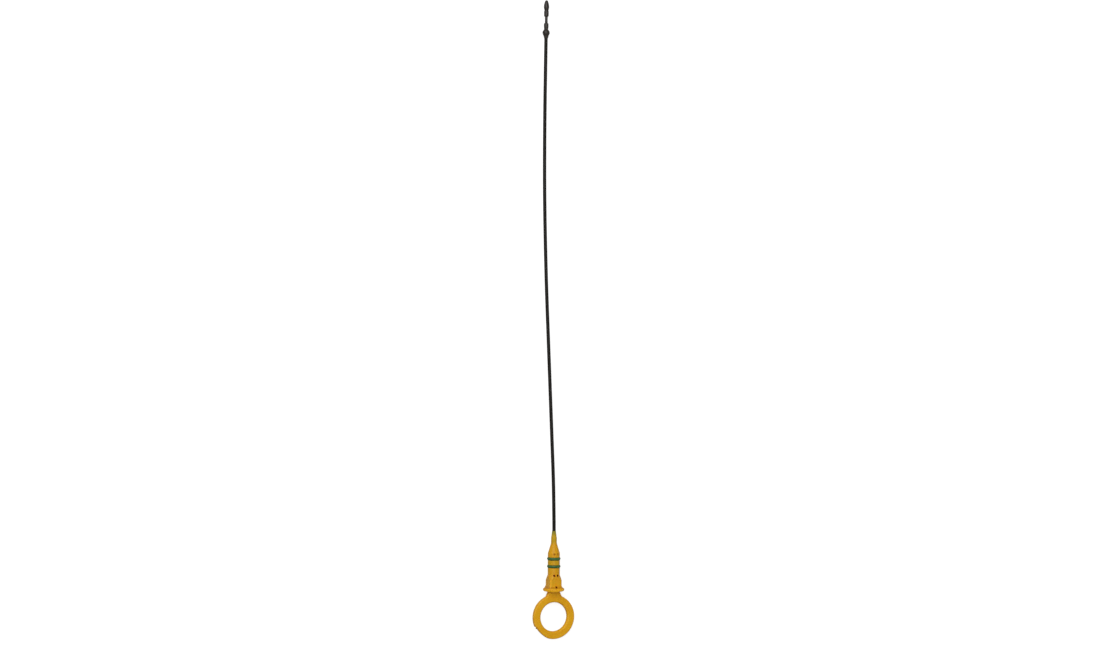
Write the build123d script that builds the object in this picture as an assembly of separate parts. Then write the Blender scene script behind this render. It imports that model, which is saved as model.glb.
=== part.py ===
from build123d import *
import math
import os

# An engine oil dipstick that lies on a table, in millimetres.
# The handle's axis points along +Y towards the tip, and the table is at z = 0.
# Stations along the handle are measured from the flange's seat face, towards the tip.

# Finger ring and the neck that carries it
ring_hole_diameter = 24.2
ring_bar_width = 6.3
ring_bar_thickness = 4.4
ring_edge_radius = 1.0
ring_hole_edge_radius = 1.6
ring_drop = 23.95  # from the seat face back to the centre of the ring's outline
ring_hole_lift = 0.15  # how much nearer the flange the hole's centre lies
neck_width = 9.6  # where it leaves the flange
neck_flare_angle = 24.0
neck_fillet = 2.5

# Trimmed gate on the ring's outer wall, with angles around the ring from its right-hand side
gate_relief_angle = 220.0
gate_relief_depth = 1.05
gate_relief_radius = 26.0
gate_step_angle = 206.8
gate_step_radius = 1.4
gate_stub_angle = 210.0
gate_stub_diameter = 0.9
gate_stub_rise = 0.95

# Flange that stops on the mouth of the dipstick tube
flange_diameter = 17.9
flange_thickness = 2.3
flange_seat_edge_radius = 0.5
flange_back_edge_radius = 1.35

# Square block whose corners slope into the round shank
block_side = 10.7
block_corner_radius = 1.2
block_length = 6.4
block_slope_length = 4.8
block_foot_height = 2.4
block_foot_reach = 1.8

# Shank with two seal grooves
shank_diameter = 10.05
shank_length = 29.4
lower_groove_station = 18.4
groove_pitch = 6.4
groove_side_clearance = 0.1
seal_section = 2.4
seal_stand_out = 0.62

# Cone, sleeve and taper that thin out along the stem
shoulder_radius = 2.0
cone_length = 8.4
cone_foot_radius = 5.0
sleeve_diameter = 4.8
sleeve_length = 4.2
taper_length = 5.9
taper_end_wall = 0.12

# Blind holes left by the mould pins that held the stem
pin_hole_diameter = 1.7
pin_hole_spread = 3.0
pin_hole_wall = 0.4  # plastic left over the stem
block_pin_station = 1.3
shank_pin_station = 10.9
shoulder_pin_station = 28.8
shoulder_pin_depth = 0.5

# Stem: its free runs, and their headings to the left of the handle's axis
stem_diameter = 2.9
stem_start_station = 2.0
root_run = 4.5
lead_run = 35.6
droop_run = 174.0
first_table_run = 68.0
second_table_run = 62.0
rising_run = 73.3
lead_heading = 1.10
droop_heading = 2.49
first_table_heading = 1.50
second_table_heading = 0.23
rising_heading = -0.50
bend_share = 0.45  # share of the shorter run that a bend takes up

# Tip: stations are measured from the guide ball's centre towards the nose
ball_diameter = 6.1
collar_length = 4.5
collar_end_wall = 0.2
collar_foot_diameter = 4.8
ball_waist_diameter = 3.45
ball_waist_station = 3.3
upper_barrel_diameter = 3.9
upper_barrel_station = 4.7
upper_barrel_length = 2.8
level_gap = 6.5
level_waist_diameter = 2.3
barrel_slope = 0.8
lower_barrel_diameter = 3.9
lower_barrel_length = 3.8
nose_waist_diameter = 3.25
nose_shoulder_length = 2.3
nose_diameter = 4.5
nose_length = 6.3
nose_end_radius = 1.3
tip_soft_radius = 0.35
stem_end_past_ball = 1.0

# Limits that keep a rounding inside its wall, and the reach of a pick among edges
edge_share = 0.45
seat_edge_share = 0.35
back_edge_share = 0.6
foot_share = 0.95
pick_reach = 1e-4

# Sizes that follow from those above
ring_radius = ring_hole_diameter / 2 + ring_bar_width
ring_edge = min(ring_edge_radius, edge_share * ring_bar_thickness)
hole_edge = min(ring_hole_edge_radius, edge_share * ring_bar_thickness)
flange_radius = flange_diameter / 2
seat_edge = min(flange_seat_edge_radius, seat_edge_share * flange_thickness)
back_edge = min(flange_back_edge_radius, back_edge_share * flange_thickness)
block_corner_reach = (block_side / 2 - block_corner_radius) * math.sqrt(2) + block_corner_radius
shank_radius = shank_diameter / 2
groove_floor_radius = shank_radius + seal_stand_out - seal_section
groove_stations = [lower_groove_station, lower_groove_station + groove_pitch]
cone_end = shank_length + cone_length
sleeve_end = cone_end + sleeve_length
handle_end = sleeve_end + taper_length
stem_radius = stem_diameter / 2
ball_radius = ball_diameter / 2
on_end = (Align.CENTER, Align.CENTER, Align.MIN)


def resting_roll():
    """The roll, in degrees, that sets the ring's rounded right-hand edge on the table."""
    reach = ring_radius - ring_edge
    half_flat = ring_bar_thickness / 2 - ring_edge
    lean = math.asin((flange_radius - ring_edge) / math.hypot(reach, half_flat))
    return math.degrees(lean - math.atan2(half_flat, reach))


def cylinder_between(radius, start, end):
    """A cylinder on the handle's axis between two stations."""
    return Pos(0, start, 0) * Rot(X=-90) * Cylinder(radius, end - start, align=on_end)


def nearest_corner(section, point):
    """The corner of a flat section that lies nearest to a point."""
    return section.vertices().sort_by_distance(point)[0]


def make_ring():
    """The finger ring and its neck, rounded all along their edges.

    Below the gate's stub, a step leads down to a wider arc that runs out along the ring's outer wall.
    """
    centre = Pos(0, -ring_drop)
    neck_end = -flange_thickness / 2
    neck_half = neck_width / 2
    flared_half = neck_half + (ring_drop - flange_thickness) * math.tan(math.radians(neck_flare_angle))
    neck = Polygon(
        (-neck_half, neck_end),
        (-neck_half, -flange_thickness),
        (-flared_half, -ring_drop),
        (flared_half, -ring_drop),
        (neck_half, -flange_thickness),
        (neck_half, neck_end),
        align=None,
    )
    relief_offset = gate_relief_radius + gate_relief_depth - ring_radius
    relief_place = centre * Rot(Z=gate_relief_angle + 180) * Pos(relief_offset, 0)
    disc = centre * Circle(ring_radius)
    past_step = Rectangle(2 * ring_radius, 2 * ring_radius, align=(Align.MIN, Align.MIN))
    disc -= (disc - relief_place * Circle(gate_relief_radius)) & centre * Rot(Z=gate_step_angle) * past_step
    for rounding in (-gate_step_radius, 2 * gate_step_radius, -gate_step_radius):
        disc = offset(disc, rounding)
    outline = disc + neck
    below_flange = outline.vertices().filter_by(lambda v: v.Y < -flange_thickness - pick_reach)
    outline = fillet(below_flange.sort_by(Axis.Y)[-2:], neck_fillet)
    ring = extrude(outline, ring_bar_thickness / 2, both=True)
    rims = ring.edges().filter_by(lambda e: e.bounding_box().size.Z < pick_reach)
    ring = fillet(rims.filter_by(lambda e: e.center().Y < neck_end - pick_reach), ring_edge)
    hole_radius = ring_hole_diameter / 2
    ring -= centre * Pos(0, ring_hole_lift) * Cylinder(hole_radius, ring_bar_thickness)
    circles = ring.edges().filter_by(GeomType.CIRCLE)
    ring = fillet(circles.filter_by(lambda e: abs(e.radius - hole_radius) < pick_reach), hole_edge)
    half_bar = ring_bar_width / 2
    stub_way = Vector(1, 0, 0).rotate(Axis.Z, gate_stub_angle)
    stub_root = Vector(0, -ring_drop, 0) + stub_way * (ring_radius - half_bar)
    stub_length = half_bar - gate_relief_depth + gate_stub_rise
    stub = Cylinder(gate_stub_diameter / 2, stub_length, align=on_end)
    return ring + Plane(origin=stub_root, z_dir=stub_way) * stub


def make_flange_and_block():
    """The round flange, with the square block standing on its seat face in a sloped foot."""
    seat_rim = (flange_radius, 0)
    back_rim = (flange_radius, -flange_thickness)
    section = Polygon((0, -flange_thickness), back_rim, seat_rim, (0, 0), align=None)
    section = fillet(nearest_corner(section, seat_rim), seat_edge)
    section = fillet(nearest_corner(section, back_rim), back_edge)
    flange = revolve(section, Axis.Y)
    root = -flange_thickness / 2
    slope_end = block_length + block_slope_length
    square = RectangleRounded(block_side, block_side, block_corner_radius)
    prism = Pos(0, root, 0) * Rot(X=-90) * extrude(square, slope_end - root)
    steepness = (block_corner_reach - shank_radius) / block_slope_length
    root_radius = shank_radius + steepness * (slope_end - root)
    slope = Polygon((0, root), (root_radius, root), (shank_radius, slope_end), (0, slope_end), align=None)
    body = flange + (prism & revolve(slope, Axis.Y))
    level_edges = body.edges().filter_by(lambda e: e.bounding_box().size.Y < pick_reach)
    seat_edges = level_edges.filter_by(lambda e: abs(e.center().Y) < pick_reach)
    foot = seat_edges.filter_by(lambda e: math.hypot(e.center().X, e.center().Z) > shank_radius / 2)
    seat = body.faces().filter_by(Plane.XZ).filter_by(lambda f: abs(f.center().Y) < pick_reach)[0]
    room = flange_radius - seat_edge - block_corner_reach
    reach = min(block_foot_reach, foot_share * room)
    return chamfer(foot, reach, block_foot_height, reference=seat)


def make_shank():
    """The round front of the handle: shank, cone, sleeve and taper, with two seal grooves."""
    sleeve_radius = sleeve_diameter / 2
    shoulder = (shank_radius, shank_length)
    cone_foot = (sleeve_radius, cone_end)
    section = Polygon(
        (0, -flange_thickness / 2),
        (shank_radius, -flange_thickness / 2),
        shoulder,
        cone_foot,
        (sleeve_radius, sleeve_end),
        (stem_radius + taper_end_wall, handle_end),
        (0, handle_end),
        align=None,
    )
    section = fillet(nearest_corner(section, shoulder), shoulder_radius)
    section = fillet(nearest_corner(section, cone_foot), cone_foot_radius)
    shank = revolve(section, Axis.Y)
    half_groove = seal_section / 2 + groove_side_clearance
    for station in groove_stations:
        ends = (station - half_groove, station + half_groove)
        shank -= cylinder_between(flange_radius, *ends) - cylinder_between(groove_floor_radius, *ends)
    return shank


def make_pin_holes():
    """Mould-pin holes on both faces: one in the block, a pair in the shank and a shallow pair."""
    deep_floor = stem_radius + pin_hole_wall
    shallow_floor = shank_radius - shoulder_pin_depth
    half_spread = pin_hole_spread / 2
    places = [
        (0, block_pin_station, deep_floor),
        (-half_spread, shank_pin_station, deep_floor),
        (half_spread, shank_pin_station, deep_floor),
        (-half_spread, shoulder_pin_station, shallow_floor),
        (half_spread, shoulder_pin_station, shallow_floor),
    ]
    holes = []
    for x, station, floor in places:
        front = Pos(x, station, floor) * Cylinder(pin_hole_diameter / 2, flange_radius - floor, align=on_end)
        holes += [front, mirror(front, about=Plane.XY)]
    return holes


def make_handle():
    """The whole moulding, with the bore that the stem is moulded into."""
    handle = make_flange_and_block() + make_ring() + make_shank()
    handle -= make_pin_holes()
    return handle - cylinder_between(stem_radius, stem_start_station, handle_end)


def make_seal(station):
    """A seal ring that lies on the floor of its groove."""
    return Pos(0, station, 0) * Rot(X=90) * Torus(groove_floor_radius + seal_section / 2, seal_section / 2)


def stem_route():
    """The corners of the stem's line: out of the handle, down to the table, along it and up to the ball."""

    def step(start, run, heading, height):
        ahead = Vector(0, run, 0).rotate(Axis.Z, heading)
        return Vector(start.X + ahead.X, start.Y + ahead.Y, height)

    start = Vector(0, stem_start_station, flange_radius)
    root = Vector(0, handle_end + root_run, flange_radius)
    bend = step(root, lead_run, lead_heading, flange_radius)
    landing = step(bend, droop_run, droop_heading, stem_radius)
    settle = step(landing, first_table_run, first_table_heading, stem_radius)
    lift = step(settle, second_table_run, second_table_heading, stem_radius)
    ball = step(lift, rising_run, rising_heading, ball_radius)
    return [start, root, bend, landing, settle, lift, ball]


def make_stem(route):
    """A round rod swept along straight runs joined by tangent arcs, to its end inside the tip."""
    end = route[-1] + (route[-1] - route[-2]).normalized() * stem_end_past_ball
    corners = route[:-1] + [end]
    runs = [(b - a).length for a, b in zip(corners, corners[1:])]
    runs[0] = 2 * root_run  # the first bend starts outside the handle
    radii = []
    for i in range(1, len(corners) - 1):
        turn = (corners[i] - corners[i - 1]).get_angle(corners[i + 1] - corners[i])
        radii.append(bend_share * min(runs[i - 1], runs[i]) / math.tan(math.radians(turn) / 2))
    path = FilletPolyline(*corners, radius=radii)
    section = Plane(origin=path @ 0, z_dir=path % 0) * Circle(stem_radius)
    return sweep(section, path=path)


def make_tip():
    """The moulded tip, round about +Y with the guide ball's centre at the origin."""
    upper_end = upper_barrel_station + upper_barrel_length
    lower_start = upper_end + level_gap
    lower_end = lower_start + lower_barrel_length
    nose_waist = lower_end + barrel_slope
    nose_widest = nose_waist + nose_shoulder_length
    soft_corners = [
        (upper_barrel_diameter / 2, upper_barrel_station),
        (upper_barrel_diameter / 2, upper_end),
        (level_waist_diameter / 2, upper_end + barrel_slope),
        (level_waist_diameter / 2, lower_start - barrel_slope),
        (lower_barrel_diameter / 2, lower_start),
        (lower_barrel_diameter / 2, lower_end),
        (nose_waist_diameter / 2, nose_waist),
    ]
    side = Polyline(
        (0, nose_widest + nose_length),
        (0, -collar_length),
        (stem_radius + collar_end_wall, -collar_length),
        (collar_foot_diameter / 2, -ball_radius / 2),
        (ball_waist_diameter / 2, ball_radius / 2),
        (ball_waist_diameter / 2, ball_waist_station),
        *soft_corners,
        (nose_diameter / 2, nose_widest),
    )
    nose_radius = nose_diameter / 2
    end_centre = nose_length - nose_end_radius
    gain = nose_radius**2 + end_centre**2 - nose_end_radius**2
    side_radius = gain / (2 * (nose_radius - nose_end_radius))
    share = nose_end_radius / (side_radius - nose_end_radius)
    join = (share * (side_radius - nose_radius), nose_widest + end_centre * (1 + share))
    nose_side = TangentArc((nose_radius, nose_widest), join, tangent=(0, 1))
    nose_end = TangentArc(join, (0, nose_widest + nose_length), tangent=nose_side % 1)
    section = make_face(side + nose_side + nose_end)
    for corner in soft_corners:
        section = fillet(nearest_corner(section, corner), tip_soft_radius)
    tip = revolve(section, Axis.Y) + Sphere(ball_radius)
    return tip - cylinder_between(stem_radius, -collar_length, stem_end_past_ball)


def make_dipstick():
    """Every piece in its place, with the whole centred over the origin."""
    head = Pos(0, 0, flange_radius) * Rot(Y=resting_roll())
    route = stem_route()
    ball = route[-1]
    along = (ball - route[-2]).normalized()
    across = along.cross(Vector(0, 0, 1)).normalized()
    tip_place = Plane(origin=ball, x_dir=across, z_dir=across.cross(along))
    pieces = {
        "handle": head * make_handle(),
        "lower_o_ring": head * make_seal(groove_stations[0]),
        "upper_o_ring": head * make_seal(groove_stations[1]),
        "stem": make_stem(route),
        "tip": tip_place * make_tip(),
    }
    middle = Compound(list(pieces.values())).bounding_box().center()
    return {name: Pos(-middle.X, -middle.Y, 0) * piece for name, piece in pieces.items()}


os.makedirs("parts", exist_ok=True)
for name, piece in make_dipstick().items():
    export_step(piece, f"parts/{name}.step")
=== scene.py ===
import bpy
import numpy as np
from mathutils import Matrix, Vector


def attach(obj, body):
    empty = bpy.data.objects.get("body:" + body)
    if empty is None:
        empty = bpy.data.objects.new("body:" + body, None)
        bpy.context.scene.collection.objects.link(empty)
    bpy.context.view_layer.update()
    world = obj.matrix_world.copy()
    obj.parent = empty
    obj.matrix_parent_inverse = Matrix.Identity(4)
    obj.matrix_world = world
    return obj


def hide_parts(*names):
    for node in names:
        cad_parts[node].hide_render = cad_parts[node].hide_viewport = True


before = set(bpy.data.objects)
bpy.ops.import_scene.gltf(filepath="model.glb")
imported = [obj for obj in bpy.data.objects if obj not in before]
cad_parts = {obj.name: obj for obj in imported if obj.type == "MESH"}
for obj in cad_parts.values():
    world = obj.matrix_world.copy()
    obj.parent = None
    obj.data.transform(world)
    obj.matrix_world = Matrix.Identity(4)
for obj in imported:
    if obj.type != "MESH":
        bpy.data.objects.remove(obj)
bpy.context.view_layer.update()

# Stem: a springy rod of black nylon, drawn through a die and cut to length.
# The handle and the tip are moulded onto its two ends, and it lies in the gentle bend of its own set.
mm = 0.001
stem_radius = 1.45 * mm
stem_sides = 48
steps_per_bend = 40
bend_share = 0.45
root_run = 9.0 * mm
stem_corners = mm * np.array([
    (0.0, -222.973, 8.95),
    (0.0, -172.573, 8.95),
    (-0.683, -136.979, 8.95),
    (-8.243, 36.856, 1.45),
    (-10.023, 104.833, 1.45),
    (-10.272, 166.833, 1.45),
    (-9.632, 240.13, 3.05),
    (-9.623, 241.13, 3.072),
])


def bent_line(corners, steps):
    """Straight runs joined round each inner corner B by the parabola (1-t)^2 A + 2t(1-t) B + t^2 C.

    A and C lie on the runs before and after B, at a fixed share of the shorter run; the first run counts as
    the short length that is free of the handle.
    """
    steps_between = np.diff(corners, axis=0)
    lengths = np.linalg.norm(steps_between, axis=1, keepdims=True)
    ways = steps_between / lengths
    lengths[0] = root_run
    reach = bend_share * np.minimum(lengths[:-1], lengths[1:])
    corner = corners[1:-1]
    before = (corner - reach * ways[:-1])[:, None]
    after = (corner + reach * ways[1:])[:, None]
    t = np.linspace(0, 1, steps)[None, :, None]
    bends = (1 - t) ** 2 * before + 2 * t * (1 - t) * corner[:, None] + t**2 * after
    return np.vstack([corners[0], bends.reshape(-1, 3), corners[-1]])


def round_rows(line, radius, angles):
    """Rings of points round a line: centre + radius (side cos a + up sin a).

    Side is level and square to the line, up is square to both, and radius may differ over rings and angles.
    """
    along = np.gradient(line, axis=0)
    along /= np.linalg.norm(along, axis=1, keepdims=True)
    side = np.cross(along, (0, 0, 1))
    side /= np.linalg.norm(side, axis=1, keepdims=True)
    up = np.cross(side, along)
    spokes = side[:, None] * np.cos(angles)[None, :, None] + up[:, None] * np.sin(angles)[None, :, None]
    reach = np.broadcast_to(radius, (len(line), len(angles)))
    return line[:, None] + reach[:, :, None] * spokes


def skin_object(name, rows, looped=False):
    """A closed skin of quads over rings of points, with a map of u round the ring and v along the rings.

    A looped skin joins its last ring to its first; otherwise a fan to the ring's middle closes each end.
    """
    rings, sides = rows.shape[:2]
    index = np.arange(rings * sides).reshape(rings, sides)
    if looped:
        travel = np.arange(rings) / rings
        near, far = index, np.roll(index, -1, axis=0)
        near_v, far_v = travel, travel + 1 / rings
    else:
        lengths = np.linalg.norm(np.diff(rows.mean(axis=1), axis=0), axis=1)
        travel = np.concatenate([[0], np.cumsum(lengths)])
        near, far = index[:-1], index[1:]
        near_v, far_v = travel[:-1], travel[1:]
    quads = np.stack([near, far, np.roll(far, -1, axis=1), np.roll(near, -1, axis=1)], axis=-1)
    turn = np.broadcast_to(np.arange(sides) / sides, near.shape)
    u = np.stack([turn, turn, turn + 1 / sides, turn + 1 / sides], axis=-1)
    v = np.stack([near_v, far_v, far_v, near_v], axis=-1)[:, None, :]
    maps = np.stack([u, np.broadcast_to(v, u.shape)], axis=-1).reshape(-1, 2)
    points = rows.reshape(-1, 3)
    faces = quads.reshape(-1, 4).tolist()
    if not looped:
        points = np.vstack([points, rows[0].mean(axis=0), rows[-1].mean(axis=0)])
        first, last = len(points) - 2, len(points) - 1
        beside = np.roll(index, -1, axis=1)
        start_fan = np.stack([index[0], beside[0], np.full(sides, first)], axis=-1)
        end_fan = np.stack([beside[-1], index[-1], np.full(sides, last)], axis=-1)
        faces += start_fan.tolist() + end_fan.tolist()
        fan_corners = start_fan.size + end_fan.size
        maps = np.vstack([maps, np.zeros((fan_corners, 2))])
    mesh = bpy.data.meshes.new(name)
    mesh.from_pydata(points.tolist(), [], faces)
    mesh.uv_layers.new(name="surface").uv.foreach_set("vector", maps.astype(np.float32).ravel())
    mesh.polygons.foreach_set("use_smooth", np.ones(len(mesh.polygons), dtype=bool))
    piece = bpy.data.objects.new(name, mesh)
    bpy.context.scene.collection.objects.link(piece)
    return piece


def add_node(tree, kind, values=None, **settings):
    """A shader node: settings are its own properties, and values fill its inputs or link outputs to them."""
    node = tree.nodes.new(kind)
    for name, value in settings.items():
        setattr(node, name, value)
    for name, value in (values or {}).items():
        if isinstance(value, bpy.types.NodeSocket):
            tree.links.new(value, node.inputs[name])
        else:
            node.inputs[name].default_value = value
    return node


def math_of(tree, operation, *values):
    """The output of one sum worked out in nodes."""
    return add_node(tree, "ShaderNodeMath", dict(enumerate(values)), operation=operation).outputs[0]


def noise_of(tree, vector, scale, detail):
    """A noise from 0 to 1 over a vector."""
    values = {"Vector": vector, "Scale": scale, "Detail": detail}
    return add_node(tree, "ShaderNodeTexNoise", values).outputs[0]


def mask_between(tree, value, low, high):
    """A smooth mask that is 0 where the value is low and 1 where it is high."""
    values = {"Value": value, "From Min": low, "From Max": high}
    return add_node(tree, "ShaderNodeMapRange", values, interpolation_type="SMOOTHSTEP").outputs["Result"]


def mixed_colour(tree, mask, first, second, strength=1.0):
    """The first colour where the mask is 0, and the second, at the given strength, where it is 1."""
    factor, first_colour, second_colour, colour_output = 0, 6, 7, 2
    values = {factor: math_of(tree, "MULTIPLY", mask, strength), first_colour: first, second_colour: second}
    return add_node(tree, "ShaderNodeMix", values, data_type="RGBA").outputs[colour_output]


def mixed_value(tree, mask, first, second):
    """The first number where the mask is 0 and the second where it is 1."""
    values = {"Value": mask, "To Min": first, "To Max": second}
    return add_node(tree, "ShaderNodeMapRange", values).outputs["Result"]


def paint(red, green, blue):
    """A colour given on a screen's scale of 0 to 255, as the share of light that it gives back."""
    full_scale = 255
    straight_end, straight_slope = 0.04045, 12.92
    lift, power = 0.055, 2.4
    screen = np.array([red, green, blue]) / full_scale
    curve = ((screen + lift) / (1 + lift)) ** power
    light = np.where(screen <= straight_end, screen / straight_slope, curve)
    return (*light.tolist(), 1.0)


def new_material(name):
    """A material with its shader, ready for its colours and textures."""
    material = bpy.data.materials.new(name)
    material.use_nodes = True
    tree = material.node_tree
    return material, tree, tree.nodes["Principled BSDF"]


def new_group(name, inputs, outputs):
    """A node group with a vector input, numbers as further inputs and numbers as outputs."""
    tree = bpy.data.node_groups.new(name, "ShaderNodeTree")
    tree.interface.new_socket("Vector", in_out="INPUT", socket_type="NodeSocketVector")
    for socket in inputs:
        tree.interface.new_socket(socket, in_out="INPUT", socket_type="NodeSocketFloat")
    for socket in outputs:
        tree.interface.new_socket(socket, in_out="OUTPUT", socket_type="NodeSocketFloat")
    return tree, add_node(tree, "NodeGroupInput").outputs


def scuff_group():
    """Hairline rubs along +Y in two crossing slants, gathered in patches: an output mask from 0 to 1."""
    tree, given = new_group("hairline_scuffs", ["Size"], ["Mask"])
    hairs = []
    hair_shape = (0.07, 1.0, 0.07)
    slants = (0.22, -0.3)
    for slant in slants:
        turn = {"Vector": given["Vector"], "Rotation": (slant, slant, slant), "Scale": hair_shape}
        turned = add_node(tree, "ShaderNodeMapping", turn, vector_type="TEXTURE")
        hair = noise_of(tree, turned.outputs[0], scale=given["Size"], detail=1.0)
        hairs.append(mask_between(tree, hair, low=0.64, high=0.71))
    patch_share = 0.4
    patch_size = math_of(tree, "MULTIPLY", given["Size"], patch_share)
    patch = noise_of(tree, given["Vector"], scale=patch_size, detail=2.0)
    patches = mask_between(tree, patch, low=0.45, high=0.65)
    rubs = math_of(tree, "MULTIPLY", math_of(tree, "MAXIMUM", *hairs), patches)
    add_node(tree, "NodeGroupOutput", {"Mask": rubs})
    return tree


scuffs = scuff_group()


def place_scuffs(tree, vector, size):
    """The scuffs' mask for one material."""
    values = {"Vector": vector, "Size": size}
    return add_node(tree, "ShaderNodeGroup", values, node_tree=scuffs).outputs["Mask"]


def drawn_nylon():
    """Black nylon with the die's fine lines along it, a slow change of tone and a few pale rubs."""
    material, tree, shader = new_material("drawn_black_nylon")
    black = paint(10, 6, 1)
    soft_black = paint(15, 11, 5)
    rub_grey = paint(92, 88, 82)
    die_line_shape = (46.0, 55.0, 1.0)
    surface = add_node(tree, "ShaderNodeUVMap", uv_map="surface").outputs["UV"]
    stretched = add_node(tree, "ShaderNodeMapping", {"Vector": surface, "Scale": die_line_shape})
    die_lines = noise_of(tree, stretched.outputs[0], scale=1.0, detail=3.0)
    place = add_node(tree, "ShaderNodeTexCoord").outputs["Object"]
    cloud = mask_between(tree, noise_of(tree, place, scale=140.0, detail=3.0), low=0.35, high=0.65)
    rubs = place_scuffs(tree, place, size=420.0)
    plain = mixed_colour(tree, cloud, black, soft_black)
    rubbed = mixed_colour(tree, rubs, plain, rub_grey, strength=0.35)
    tree.links.new(rubbed, shader.inputs["Base Color"])
    tree.links.new(mixed_value(tree, die_lines, first=0.34, second=0.5), shader.inputs["Roughness"])
    bump = add_node(tree, "ShaderNodeBump", {"Height": die_lines, "Strength": 0.5, "Distance": 0.03 * mm})
    tree.links.new(bump.outputs[0], shader.inputs["Normal"])
    shader.inputs["Specular IOR Level"].default_value = 0.14
    return material


seam_below = -np.pi / 2
stem_angles = seam_below + np.linspace(0, 2 * np.pi, stem_sides, endpoint=False)
stem_line = bent_line(stem_corners, steps_per_bend)
stem = skin_object("stem_rod", round_rows(stem_line, stem_radius, stem_angles))
stem.data.materials.append(drawn_nylon())
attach(stem, "root")
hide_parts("stem")

# Tip: one moulding of black nylon, with a guide ball that keeps it off the tube's wall and a thin waist
# between the two barrels that stand for the low and high oil levels. It is moulded onto the stem's end.
ball_centre = stem_corners[-2]
last_run = ball_centre - stem_corners[-3]
tip_along = last_run / np.linalg.norm(last_run)
ball_radius = 3.05 * mm
ball_blend = 0.15 * mm
nose_length = 6.3 * mm
nose_end_radius = 1.3 * mm
tip_soft_length = 0.3 * mm
tip_profile = mm * np.array([
    (-4.5, 1.65),
    (-1.525, 2.4),
    (1.525, 1.725),
    (3.3, 1.725),
    (4.7, 1.95),
    (7.5, 1.95),
    (8.3, 1.15),
    (13.2, 1.15),
    (14.0, 1.95),
    (17.8, 1.95),
    (18.6, 1.625),
    (20.9, 2.25),
])
tip_start = tip_profile[0, 0]
nose_widest, nose_radius = tip_profile[-1]
tip_end = nose_widest + nose_length
tip_rings = 280
tip_sides = 72
tip_seam_height = 0.035 * mm
tip_seam_width = 0.09 * mm
seam_crowding = 0.85
moulding_roll = np.radians(23.1721)


def nose_outline(past):
    """The nose's radius past its widest place: a wide arc for its side, then a small arc for its end."""
    end_centre = nose_length - nose_end_radius
    gain = nose_radius**2 + end_centre**2 - nose_end_radius**2
    side_radius = gain / (2 * (nose_radius - nose_end_radius))
    join = end_centre * (1 + nose_end_radius / (side_radius - nose_end_radius))
    side = nose_radius - side_radius + np.sqrt(np.maximum(side_radius**2 - past**2, 0))
    end = np.sqrt(np.maximum(nose_end_radius**2 - (past - end_centre) ** 2, 0))
    return np.where(past < join, side, end)


def tip_radius(station):
    """Slopes between the profile's corners and then the nose, averaged over a short length to soften them.

    The ball is joined on by a soft maximum, (a + b + sqrt((a - b)^2 + blend^2)) / 2.
    """
    fine_steps = 6000
    fine = np.linspace(tip_start, tip_end, fine_steps)
    slopes = np.interp(fine, tip_profile[:, 0], tip_profile[:, 1])
    outline = np.where(fine < nose_widest, slopes, nose_outline(fine - nose_widest))
    running = np.concatenate([[0], np.cumsum((outline[1:] + outline[:-1]) / 2 * np.diff(fine))])
    room = np.minimum(station - tip_start, tip_end - station)
    half = np.clip(room, fine[1] - fine[0], tip_soft_length)
    total = np.interp(station + half, fine, running) - np.interp(station - half, fine, running)
    core = total / (np.minimum(station + half, tip_end) - np.maximum(station - half, tip_start))
    ball = np.sqrt(np.maximum(ball_radius**2 - station**2, 0))
    return (core + ball + np.sqrt((core - ball) ** 2 + ball_blend**2)) / 2


def seam_angles(sides):
    """Angles round a section, a - c sin(2a) / 2, which crowd together at the seams on its two sides."""
    even = np.linspace(0, 2 * np.pi, sides, endpoint=False)
    return even - seam_crowding * np.sin(2 * even) / 2


def seam_rise(angles, radius, height, width):
    """The moulding seam: a rounded ridge, height exp(-(distance from the seam / width)^2), on both sides."""
    away = np.abs(np.sin(angles))[None, :] * radius[:, None]
    return height * np.exp(-((away / width) ** 2))


def grain_group():
    """The fine grain of a moulded skin: its height, and a slower change of gloss, both from 0 to 1."""
    tree, given = new_group("moulded_grain", ["Grain"], ["Height", "Gloss"])
    grain = noise_of(tree, given["Vector"], scale=given["Grain"], detail=3.0)
    slow_share = 0.08
    slow_size = math_of(tree, "MULTIPLY", given["Grain"], slow_share)
    slow = noise_of(tree, given["Vector"], scale=slow_size, detail=2.0)
    gloss = mask_between(tree, slow, low=0.3, high=0.7)
    add_node(tree, "NodeGroupOutput", {"Height": grain, "Gloss": gloss})
    return tree


moulded_grain = grain_group()


def place_grain(tree, vector, grain):
    """The moulded grain's outputs for one material."""
    values = {"Vector": vector, "Grain": grain}
    return add_node(tree, "ShaderNodeGroup", values, node_tree=moulded_grain).outputs


def moulded_black_nylon():
    """Black nylon from a mould: fine grain, a slow change of gloss, and pale rubs from the tube's wall."""
    material, tree, shader = new_material("moulded_black_nylon")
    black = paint(27, 21, 15)
    soft_black = paint(33, 27, 21)
    rub_grey = paint(104, 100, 95)
    place = add_node(tree, "ShaderNodeTexCoord").outputs["Object"]
    grain = place_grain(tree, place, grain=3600.0)
    rubs = place_scuffs(tree, place, size=520.0)
    plain = mixed_colour(tree, grain["Gloss"], black, soft_black)
    rubbed = mixed_colour(tree, rubs, plain, rub_grey, strength=0.4)
    tree.links.new(rubbed, shader.inputs["Base Color"])
    tree.links.new(mixed_value(tree, grain["Gloss"], first=0.36, second=0.5), shader.inputs["Roughness"])
    relief = {"Height": grain["Height"], "Strength": 0.6, "Distance": 0.02 * mm}
    bump = add_node(tree, "ShaderNodeBump", relief)
    tree.links.new(bump.outputs[0], shader.inputs["Normal"])
    shader.inputs["Specular IOR Level"].default_value = 0.35
    return material


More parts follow.
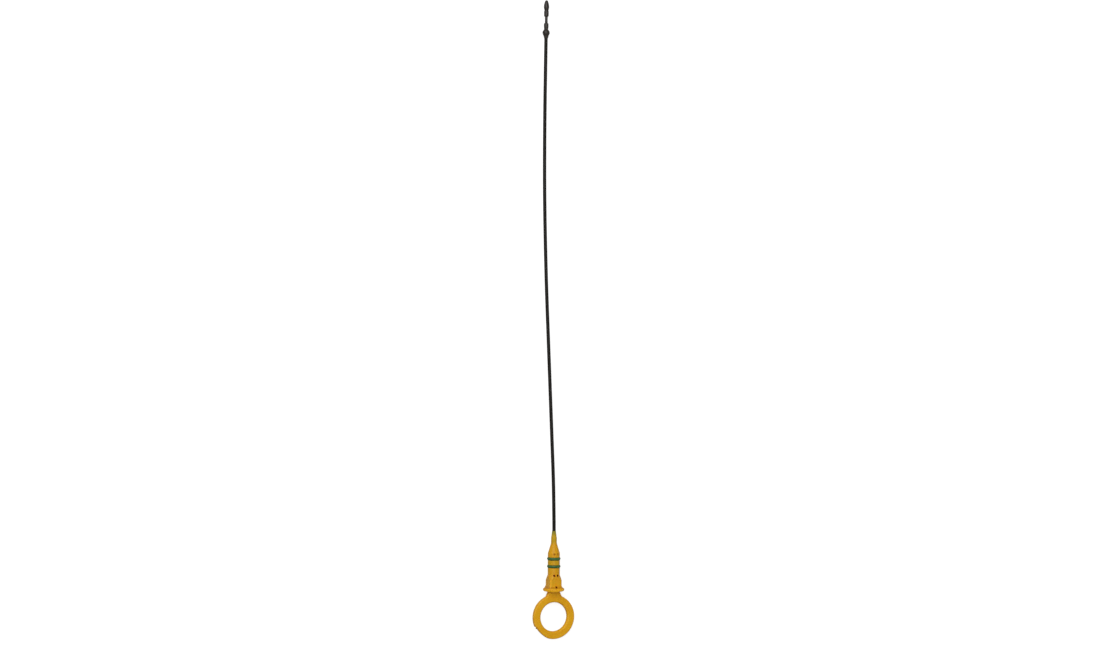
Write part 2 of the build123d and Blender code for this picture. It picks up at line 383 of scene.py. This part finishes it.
tip_stations = np.linspace(tip_start, tip_end, tip_rings + 1)[:-1]
tip_angles = seam_angles(tip_sides)
tip_reach = tip_radius(tip_stations)
tip_skin = tip_reach[:, None] + seam_rise(tip_angles, tip_reach, tip_seam_height, tip_seam_width)
tip_line = ball_centre + tip_stations[:, None] * tip_along
tip = skin_object("level_tip", round_rows(tip_line, tip_skin, tip_angles - moulding_roll))
tip.data.materials.append(moulded_black_nylon())
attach(tip, "root")
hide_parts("tip")

# Handle: one moulding of yellow nylon round the stem's end, with a finger ring, a neck, a stop flange, a
# square block and a round shank that thins to a sleeve. Mould pins that held the stem left its small holes.
seat_face = -224.973 * mm
axis_height = 8.95 * mm
axis_point = np.array([0, seat_face, axis_height])
ring_across = np.array([np.cos(moulding_roll), 0, -np.sin(moulding_roll)])
ring_normal = np.array([np.sin(moulding_roll), 0, np.cos(moulding_roll)])
ring_drop = 23.95 * mm
ring_centre = axis_point - (0, ring_drop, 0)
gate_angle = np.radians(210.0)
gate_reach = 18.3 * mm
gate_way = np.cos(gate_angle) * ring_across + np.sin(gate_angle) * np.array([0, 1, 0])
gate_place = ring_centre + gate_reach * gate_way
block_half = 5.35 * mm
block_pin_station = 1.3 * mm
shank_pin_station = 10.9 * mm
dimple_station = 28.8 * mm
pin_aside = 1.5 * mm


def reach_along(tree, vector, way):
    """How far a vector reaches along a way."""
    values = {0: vector, 1: way.tolist()}
    return add_node(tree, "ShaderNodeVectorMath", values, operation="DOT_PRODUCT").outputs["Value"]


def length_of(tree, x, y):
    """The length of an arrow with two given sides."""
    arrow = add_node(tree, "ShaderNodeCombineXYZ", {"X": x, "Y": y}).outputs[0]
    return add_node(tree, "ShaderNodeVectorMath", {0: arrow}, operation="LENGTH").outputs["Value"]


def shank_tints(tree, colour, station):
    """Duller over the first 9 mm past the seat face, olive on the sleeve and its thin end, and greener
    between the seals.
    """
    dull_yellow = paint(190, 137, 15)
    sleeve_olive = paint(176, 141, 18)
    thin_olive = paint(127, 119, 26)
    seal_olive = paint(150, 142, 22)
    in_tube = mask_between(tree, station, low=0.5 * mm, high=9.0 * mm)
    dulled = mixed_colour(tree, in_tube, colour, dull_yellow, strength=0.6)
    on_sleeve = mask_between(tree, station, low=35.5 * mm, high=40.5 * mm)
    sleeved = mixed_colour(tree, on_sleeve, dulled, sleeve_olive)
    thin = mask_between(tree, station, low=43.3 * mm, high=47.0 * mm)
    seen_through = mixed_colour(tree, thin, sleeved, thin_olive)
    past_lower_seal = mask_between(tree, station, low=17.0 * mm, high=19.6 * mm)
    before_upper_seal = mask_between(tree, station, low=26.2 * mm, high=23.6 * mm)
    between_seals = math_of(tree, "MULTIPLY", past_lower_seal, before_upper_seal)
    return mixed_colour(tree, between_seals, seen_through, seal_olive, strength=0.3)


def gate_tint(tree, colour, place):
    """A darker stub where the moulding was torn from its gate."""
    gate_brown = paint(146, 108, 18)
    ends = {0: place, 1: gate_place.tolist()}
    away = add_node(tree, "ShaderNodeVectorMath", ends, operation="DISTANCE").outputs["Value"]
    torn = mask_between(tree, away, low=1.4 * mm, high=0.5 * mm)
    return mixed_colour(tree, torn, colour, gate_brown, strength=0.7)


def block_tints(tree, colour, across, off_seam, station):
    """The square block: a painted highlight on one corner, and painted shade on its sloped foot's four
    sides.
    """
    corner_highlight_cream = paint(236, 178, 30)
    foot_shade_brown = paint(183, 127, 8)
    past_seat = mask_between(tree, station, low=0.05 * mm, high=0.3 * mm)
    # Painted highlight: one rounded corner is paled where a lamp's glint falls on it.
    towards_corner = math_of(tree, "SUBTRACT", off_seam, across)
    near_corner = mask_between(tree, towards_corner, low=9.2 * mm, high=9.9 * mm)
    corner = math_of(tree, "MULTIPLY", near_corner, past_seat)
    corner_highlit = mixed_colour(tree, corner, colour, corner_highlight_cream, strength=0.4)
    # Painted shade: the sloped foot is darkened all round, as the shade in its corner would.
    sides = [math_of(tree, "ABSOLUTE", reach) for reach in (off_seam, across)]
    from_middle = math_of(tree, "MAXIMUM", *sides)
    past_block = mask_between(tree, from_middle, low=block_half, high=block_half + 0.3 * mm)
    foot_shade = math_of(tree, "MULTIPLY", past_block, past_seat)
    return mixed_colour(tree, foot_shade, corner_highlit, foot_shade_brown)


def rim_painted_highlight(tree, colour, across, off_seam, station):
    """The flange's rim, paled by a painted highlight on its back edge and, more faintly, on its right-hand
    side.
    """
    rim_highlight_cream = paint(248, 184, 28)
    right_share = 0.45
    far_out = mask_between(tree, length_of(tree, across, off_seam), low=7.4 * mm, high=8.0 * mm)
    before_seat = mask_between(tree, station, low=0.05 * mm, high=-0.2 * mm)
    past_back = mask_between(tree, station, low=-2.9 * mm, high=-2.4 * mm)
    on_rim = math_of(tree, "MULTIPLY", far_out, math_of(tree, "MULTIPLY", before_seat, past_back))
    # Painted highlight: the back edge and the right-hand side of the rim are paled as if lit.
    back_edge = mask_between(tree, station, low=-1.0 * mm, high=-2.1 * mm)
    right_side = mask_between(tree, across, low=-3.5 * mm, high=2.0 * mm)
    rim_highlight = math_of(tree, "MAXIMUM", back_edge, math_of(tree, "MULTIPLY", right_side, right_share))
    return mixed_colour(tree, math_of(tree, "MULTIPLY", rim_highlight, on_rim), colour, rim_highlight_cream, strength=0.9)


def pin_hole_shading(tree, colour, across, station):
    """Painted shade: amber round the deep pin holes, dark brown inside them, and a fainter brown in the
    dimples.
    """
    hole_shade_amber = paint(196, 112, 0)
    hole_shade_brown = paint(110, 36, 0)
    dimple_shade_brown = paint(128, 66, 2)

    def away_from(aside, hole_station):
        """The distance from the nearest of the pins at a station, which stand this far aside of the axis."""
        sideways = math_of(tree, "SUBTRACT", math_of(tree, "ABSOLUTE", across), aside)
        lengthways = math_of(tree, "SUBTRACT", station, hole_station)
        return length_of(tree, sideways, lengthways)

    block_away = away_from(0.0, block_pin_station)
    shank_away = away_from(pin_aside, shank_pin_station)
    deep_away = math_of(tree, "MINIMUM", block_away, shank_away)
    # Painted shade round the mouths of the deep holes and inside them.
    hole_mouth_shade = mask_between(tree, deep_away, low=1.25 * mm, high=0.9 * mm)
    mouth_shaded = mixed_colour(tree, hole_mouth_shade, colour, hole_shade_amber, strength=0.7)
    deep_holes = mask_between(tree, deep_away, low=0.95 * mm, high=0.8 * mm)
    holed = mixed_colour(tree, deep_holes, mouth_shaded, hole_shade_brown)
    # Painted shade in the shallow dimples.
    dimples = mask_between(tree, away_from(pin_aside, dimple_station), low=0.95 * mm, high=0.8 * mm)
    return mixed_colour(tree, dimples, holed, dimple_shade_brown, strength=0.6)


def moulded_yellow_nylon():
    """Yellow nylon in two close tones, with the tints above, pale rubs, fine grain and a moulding seam."""
    material, tree, shader = new_material("moulded_yellow_nylon")
    yellow = paint(210, 154, 18)
    deep_yellow = paint(206, 147, 14)
    rub_cream = paint(228, 186, 88)
    place = add_node(tree, "ShaderNodeTexCoord").outputs["Object"]
    ends = {0: place, 1: axis_point.tolist()}
    from_axis = add_node(tree, "ShaderNodeVectorMath", ends, operation="SUBTRACT").outputs[0]
    station = add_node(tree, "ShaderNodeSeparateXYZ", {"Vector": from_axis}).outputs["Y"]
    across = reach_along(tree, from_axis, ring_across)
    off_seam = reach_along(tree, from_axis, ring_normal)
    cloud = mask_between(tree, noise_of(tree, place, scale=95.0, detail=3.0), low=0.35, high=0.65)
    colour = mixed_colour(tree, cloud, yellow, deep_yellow)
    colour = shank_tints(tree, colour, station)
    colour = gate_tint(tree, colour, place)
    colour = mixed_colour(tree, place_scuffs(tree, place, size=300.0), colour, rub_cream, strength=0.2)
    colour = block_tints(tree, colour, across, off_seam, station)
    colour = rim_painted_highlight(tree, colour, across, off_seam, station)
    colour = pin_hole_shading(tree, colour, across, station)
    tree.links.new(colour, shader.inputs["Base Color"])
    grain = place_grain(tree, place, grain=3000.0)
    tree.links.new(mixed_value(tree, grain["Gloss"], first=0.38, second=0.52), shader.inputs["Roughness"])
    seam = mask_between(tree, math_of(tree, "ABSOLUTE", off_seam), low=0.14 * mm, high=0.03 * mm)
    grain_share = 0.5
    height = math_of(tree, "ADD", math_of(tree, "MULTIPLY", grain["Height"], grain_share), seam)
    bump = add_node(tree, "ShaderNodeBump", {"Height": height, "Strength": 0.6, "Distance": 0.04 * mm})
    tree.links.new(bump.outputs[0], shader.inputs["Normal"])
    shader.inputs["Specular IOR Level"].default_value = 0.18
    shader.inputs["Subsurface Weight"].default_value = 0.15
    shader.inputs["Subsurface Radius"].default_value = (1.0, 0.45, 0.1)
    shader.inputs["Subsurface Scale"].default_value = 0.8 * mm
    return material


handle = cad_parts["handle"]
handle.data.materials.clear()
handle.data.materials.append(moulded_yellow_nylon())

# Seals: two rings of green rubber, each moulded in two halves and rolled over the shank into its groove.
# Their seam is a faint line of flash round the outside, and they stand a little proud of the shank.
seal_ring_radius = 4.445 * mm
seal_section_radius = 1.2 * mm
seal_rings = 144
seal_sides = 48
flash_height = 0.025 * mm
flash_width = 0.1 * mm
seal_stations = {"lower": 18.4 * mm, "upper": 24.8 * mm}


def seal_rows(station):
    """A ring of round section round the shank's axis; the section's angle 0 faces out.

    The section's radius is constant apart from the flash, a ridge on the ring's outer and inner sides.
    """
    around = np.linspace(0, 2 * np.pi, seal_rings, endpoint=False)[:, None]
    section = seam_angles(seal_sides)
    flash = seam_rise(section, np.array([seal_section_radius]), flash_height, flash_width)
    radius = seal_section_radius + flash
    out = seal_ring_radius + radius * np.cos(section)
    x = out * np.sin(around)
    y = np.broadcast_to(seat_face + station + radius * np.sin(section), x.shape)
    z = axis_height + out * np.cos(around)
    return np.stack([x, y, z], axis=-1)


def green_rubber():
    """Green seal rubber: a close matt grain, a bloom that pales it in patches, and fine specks of dust."""
    material, tree, shader = new_material("green_seal_rubber")
    green = paint(50, 88, 40)
    pale_green = paint(60, 99, 50)
    dust_grey = paint(150, 160, 140)
    place = add_node(tree, "ShaderNodeTexCoord").outputs["Object"]
    grain = place_grain(tree, place, grain=4200.0)
    bloom = mask_between(tree, noise_of(tree, place, scale=320.0, detail=4.0), low=0.4, high=0.7)
    plain = mixed_colour(tree, bloom, green, pale_green)
    speck = add_node(tree, "ShaderNodeTexVoronoi", {"Vector": place, "Scale": 900.0}).outputs["Distance"]
    dust = mask_between(tree, speck, low=0.16, high=0.08)
    dusted = mixed_colour(tree, dust, plain, dust_grey, strength=0.2)
    tree.links.new(dusted, shader.inputs["Base Color"])
    tree.links.new(mixed_value(tree, grain["Gloss"], first=0.42, second=0.56), shader.inputs["Roughness"])
    relief = {"Height": grain["Height"], "Strength": 0.5, "Distance": 0.015 * mm}
    bump = add_node(tree, "ShaderNodeBump", relief)
    tree.links.new(bump.outputs[0], shader.inputs["Normal"])
    shader.inputs["Specular IOR Level"].default_value = 0.35
    return material


seal_rubber = green_rubber()
for seal_name, seal_station in seal_stations.items():
    seal = skin_object(f"{seal_name}_seal", seal_rows(seal_station), looped=True)
    seal.data.materials.append(seal_rubber)
    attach(seal, "root")
    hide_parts(f"{seal_name}_o_ring")

# Studio: a white table that stays white to the eye and keeps a faint shadow, soft lamps and the camera.
# The camera looks straight down, as it did over the real dipstick.
table_half = 6.0
table_mesh = bpy.data.meshes.new("table")
table_corners = [
    (-table_half, -table_half, 0),
    (table_half, -table_half, 0),
    (table_half, table_half, 0),
    (-table_half, table_half, 0),
]
table_mesh.from_pydata(table_corners, [], [(0, 1, 2, 3)])
table = bpy.data.objects.new("table", table_mesh)
bpy.context.scene.collection.objects.link(table)


def white_table():
    """White paper that bounces light; to the eye, a glow evens it out and leaves a faint shadow."""
    material, tree, shader = new_material("white_table")
    near_glow = 0.8
    far_glow = 1.0
    paper_white = 0.6
    shadow_white = 0.32
    place = add_node(tree, "ShaderNodeTexCoord").outputs["Object"]
    away = add_node(tree, "ShaderNodeVectorMath", {0: place}, operation="LENGTH").outputs["Value"]
    glow = mixed_value(tree, mask_between(tree, away, low=0.7, high=2.0), near_glow, far_glow)
    seen = add_node(tree, "ShaderNodeLightPath").outputs["Is Camera Ray"]
    tree.links.new(math_of(tree, "MULTIPLY", seen, glow), shader.inputs["Emission Strength"])
    tree.links.new(mixed_value(tree, seen, paper_white, shadow_white), shader.inputs["Base Color"])
    shader.inputs["Emission Color"].default_value = (1.0, 1.0, 1.0, 1.0)
    shader.inputs["Roughness"].default_value = 0.9
    shader.inputs["Specular IOR Level"].default_value = 0.0
    return material


table_mesh.materials.append(white_table())


def soft_lamp(name, place, aim, size, power):
    """A square soft lamp at a place, turned towards the point that it lights."""
    lamp = bpy.data.lights.new(name, "AREA")
    lamp.shape = "SQUARE"
    lamp.size = size
    lamp.energy = power
    holder = bpy.data.objects.new(name, lamp)
    holder.location = place
    towards = Vector(aim) - Vector(place)
    holder.rotation_euler = towards.to_track_quat("-Z", "Y").to_euler()
    bpy.context.scene.collection.objects.link(holder)


lit_point = (0.0, -0.1, 0.0)
soft_lamp("key_lamp", place=(-0.25, 0.7, 1.1), aim=lit_point, size=0.9, power=10.5)
soft_lamp("top_lamp", place=(0.1, 0.1, 2.2), aim=lit_point, size=1.4, power=22.0)

world = bpy.data.worlds.new("studio")
world.use_nodes = True
world_tree = world.node_tree
fill_level = 0.32
white_level = 1.0
world_path = add_node(world_tree, "ShaderNodeLightPath").outputs
level = mixed_value(world_tree, world_path["Is Camera Ray"], fill_level, white_level)
world_tree.links.new(level, world_tree.nodes["Background"].inputs["Strength"])
world_tree.nodes["Background"].inputs["Color"].default_value = (1.0, 1.0, 1.0, 1.0)
bpy.context.scene.world = world

camera_data = bpy.data.cameras.new("camera")
camera_data.sensor_fit = "HORIZONTAL"
camera_data.sensor_width = 36.0
camera_data.lens = 72.0
camera = bpy.data.objects.new("camera", camera_data)
camera_lean = 0.0072
camera.location = (-4.594 * mm, -4.941 * mm, 1848.0 * mm)
camera.rotation_euler = (0.0, 0.0, camera_lean)
bpy.context.scene.collection.objects.link(camera)
bpy.context.scene.camera = camera
bpy.context.scene.view_settings.view_transform = "Standard"
